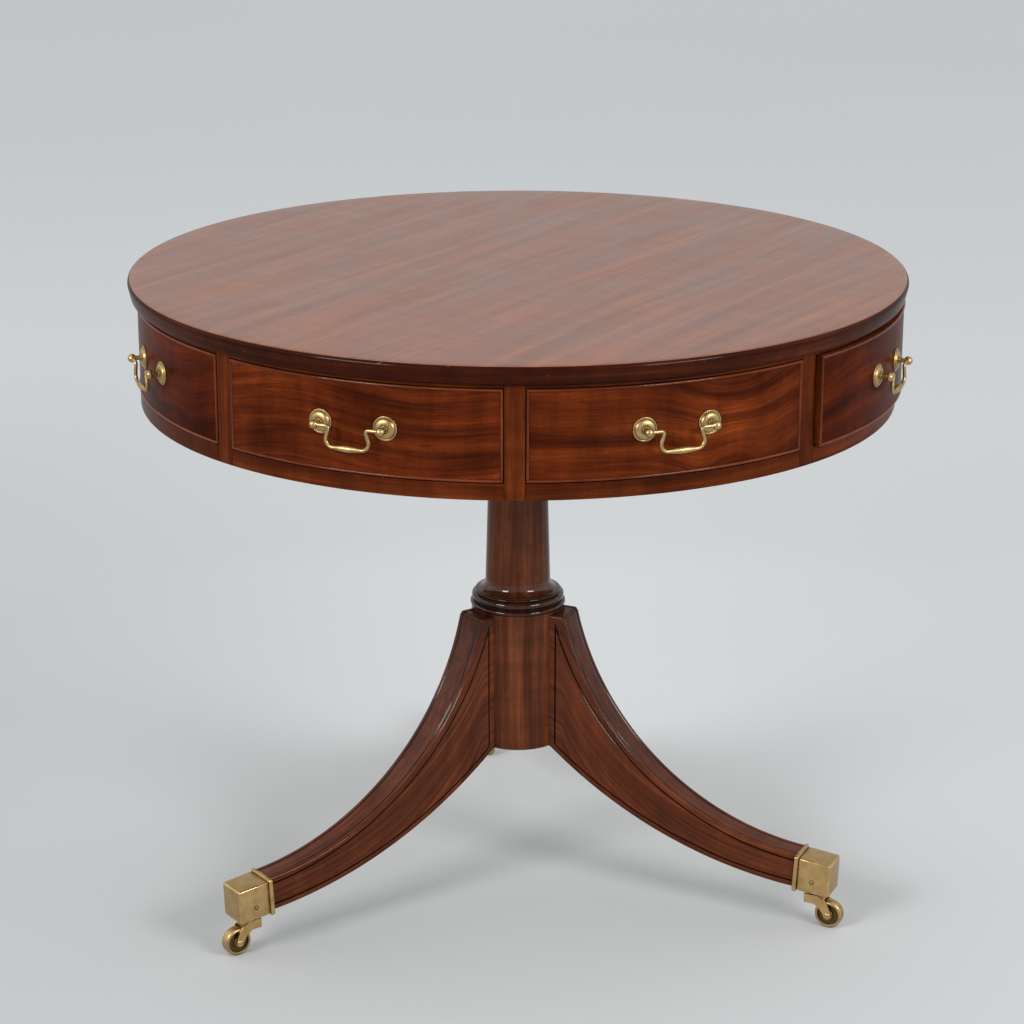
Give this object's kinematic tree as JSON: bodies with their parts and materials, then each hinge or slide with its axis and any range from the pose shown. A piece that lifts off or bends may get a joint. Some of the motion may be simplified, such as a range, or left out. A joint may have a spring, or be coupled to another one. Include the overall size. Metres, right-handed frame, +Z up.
{
  "type": "drum table",
  "caption": "Round drum table whose top and drawer drum turn on a pillar, with drawers and false fronts, hanging brass handles, sabre legs, brass toe caps and casters.",
  "frame": {"origin": "on the floor, on the middle line of the pillar", "axes": "+Z up; a drawer faces -Y, +X, +Y and -X each, so the drum is stored square to the axes"},
  "size_m": [0.9024, 0.8964, 0.7464],
  "materials": {
    "top_mahogany": "polished",
    "drum_mahogany": "polished",
    "base_mahogany": "polished",
    "inner_oak": "bare, matt",
    "aged_brass": "aged, satin",
    "pivot_iron": "dark, dull"
  },
  "bodies": {
    "pedestal": {"pillar": "base_mahogany", "leg_left": "base_mahogany", "leg_right": "base_mahogany", "leg_back": "base_mahogany", "toe_cap_left": "aged_brass", "toe_cap_right": "aged_brass", "toe_cap_back": "aged_brass", "toe_cap_pins": "aged_brass", "bearing_block": "base_mahogany", "lower_swivel_plate": "pivot_iron", "pivot_spindle": "pivot_iron", "spindle_nut": "pivot_iron"},
    "drum": {"table_top": "top_mahogany", "drum_base": "inner_oak", "lower_rails": "drum_mahogany", "upper_rails": "drum_mahogany", "stiles": "drum_mahogany", "drawer_guides": "inner_oak", "drawer_stops": "inner_oak", "upper_swivel_plate": "pivot_iron", "false_fronts": "drum_mahogany", "false_front_beads": "drum_mahogany", "false_handle_mounts": "aged_brass"},
    "drawer_front": {"drawer_front_front": "drum_mahogany", "drawer_front_beads": "drum_mahogany", "drawer_front_carcase": "inner_oak", "drawer_front_bottom": "inner_oak", "drawer_front_handle_mounts": "aged_brass"},
    "drawer_front_bail": {"drawer_front_bail": "aged_brass"},
    "drawer_right": {"drawer_right_front": "drum_mahogany", "drawer_right_beads": "drum_mahogany", "drawer_right_carcase": "inner_oak", "drawer_right_bottom": "inner_oak", "drawer_right_handle_mounts": "aged_brass"},
    "drawer_right_bail": {"drawer_right_bail": "aged_brass"},
    "drawer_back": {"drawer_back_front": "drum_mahogany", "drawer_back_beads": "drum_mahogany", "drawer_back_carcase": "inner_oak", "drawer_back_bottom": "inner_oak", "drawer_back_handle_mounts": "aged_brass"},
    "drawer_back_bail": {"drawer_back_bail": "aged_brass"},
    "drawer_left": {"drawer_left_front": "drum_mahogany", "drawer_left_beads": "drum_mahogany", "drawer_left_carcase": "inner_oak", "drawer_left_bottom": "inner_oak", "drawer_left_handle_mounts": "aged_brass"},
    "drawer_left_bail": {"drawer_left_bail": "aged_brass"},
    "false_front_right_bail": {"false_front_right_bail": "aged_brass"},
    "false_back_right_bail": {"false_back_right_bail": "aged_brass"},
    "false_back_left_bail": {"false_back_left_bail": "aged_brass"},
    "false_front_left_bail": {"false_front_left_bail": "aged_brass"},
    "caster_left": {"caster_fork_left": "aged_brass", "caster_axle_left": "aged_brass"},
    "wheel_left": {"caster_wheel_left": "aged_brass"},
    "caster_right": {"caster_fork_right": "aged_brass", "caster_axle_right": "aged_brass"},
    "wheel_right": {"caster_wheel_right": "aged_brass"},
    "caster_back": {"caster_fork_back": "aged_brass", "caster_axle_back": "aged_brass"},
    "wheel_back": {"caster_wheel_back": "aged_brass"}
  },
  "joints": [
    {"name": "drum_turn", "type": "hinge", "parent": "pedestal", "child": "drum", "pos_m": [0, 0, 0.6029], "axis": [0, 0, 1], "continuous": true},
    {"name": "drawer_front_slide", "type": "slide", "parent": "drum", "child": "drawer_front", "axis": [0, -1, 0], "range_m": [0, 0.19]},
    {"name": "drawer_front_bail_swing", "type": "hinge", "parent": "drawer_front", "child": "drawer_front_bail", "pos_m": [0, -0.44342, 0.6736], "axis": [-1, 0, 0], "range_deg": [-15, 150]},
    {"name": "drawer_right_slide", "type": "slide", "parent": "drum", "child": "drawer_right", "axis": [1, 0, 0], "range_m": [-0.006, 0.184]},
    {"name": "drawer_right_bail_swing", "type": "hinge", "parent": "drawer_right", "child": "drawer_right_bail", "pos_m": [0.44942, 0, 0.6736], "axis": [0, -1, 0], "range_deg": [-15, 150]},
    {"name": "drawer_back_slide", "type": "slide", "parent": "drum", "child": "drawer_back", "axis": [0, 1, 0], "range_m": [0, 0.19]},
    {"name": "drawer_back_bail_swing", "type": "hinge", "parent": "drawer_back", "child": "drawer_back_bail", "pos_m": [0, 0.44342, 0.6736], "axis": [1, 0, 0], "range_deg": [-15, 150]},
    {"name": "drawer_left_slide", "type": "slide", "parent": "drum", "child": "drawer_left", "axis": [-1, 0, 0], "range_m": [0, 0.19]},
    {"name": "drawer_left_bail_swing", "type": "hinge", "parent": "drawer_left", "child": "drawer_left_bail", "pos_m": [-0.44342, 0, 0.6736], "axis": [0, 1, 0], "range_deg": [-15, 150]},
    {"name": "false_front_right_bail_swing", "type": "hinge", "parent": "drum", "child": "false_front_right_bail", "pos_m": [0.31354, -0.31354, 0.6736], "axis": [-0.7071, -0.7071, 0], "range_deg": [-15, 150]},
    {"name": "false_back_right_bail_swing", "type": "hinge", "parent": "drum", "child": "false_back_right_bail", "pos_m": [0.31354, 0.31354, 0.6736], "axis": [0.7071, -0.7071, 0], "range_deg": [-15, 150]},
    {"name": "false_back_left_bail_swing", "type": "hinge", "parent": "drum", "child": "false_back_left_bail", "pos_m": [-0.31354, 0.31354, 0.6736], "axis": [0.7071, 0.7071, 0], "range_deg": [-15, 150]},
    {"name": "false_front_left_bail_swing", "type": "hinge", "parent": "drum", "child": "false_front_left_bail", "pos_m": [-0.31354, -0.31354, 0.6736], "axis": [-0.7071, 0.7071, 0], "range_deg": [-15, 150]},
    {"name": "caster_left_swivel", "type": "hinge", "parent": "pedestal", "child": "caster_left", "pos_m": [-0.19443, -0.32358, 0.0395], "axis": [0, 0, 1], "continuous": true},
    {"name": "wheel_left_roll", "type": "hinge", "parent": "caster_left", "child": "wheel_left", "pos_m": [-0.20395, -0.33944, 0.0165], "axis": [0.8572, -0.515, 0], "continuous": true},
    {"name": "caster_right_swivel", "type": "hinge", "parent": "pedestal", "child": "caster_right", "pos_m": [0.37744, -0.00659, 0.0395], "axis": [0, 0, 1], "continuous": true},
    {"name": "wheel_right_roll", "type": "hinge", "parent": "caster_right", "child": "wheel_right", "pos_m": [0.39594, -0.00691, 0.0165], "axis": [0.0175, 0.9998, 0], "continuous": true},
    {"name": "caster_back_swivel", "type": "hinge", "parent": "pedestal", "child": "caster_back", "pos_m": [-0.18302, 0.33017, 0.0395], "axis": [0, 0, 1], "continuous": true},
    {"name": "wheel_back_roll", "type": "hinge", "parent": "caster_back", "child": "wheel_back", "pos_m": [-0.17405, 0.31399, 0.0165], "axis": [-0.8746, -0.4848, 0], "continuous": true}
  ]
}
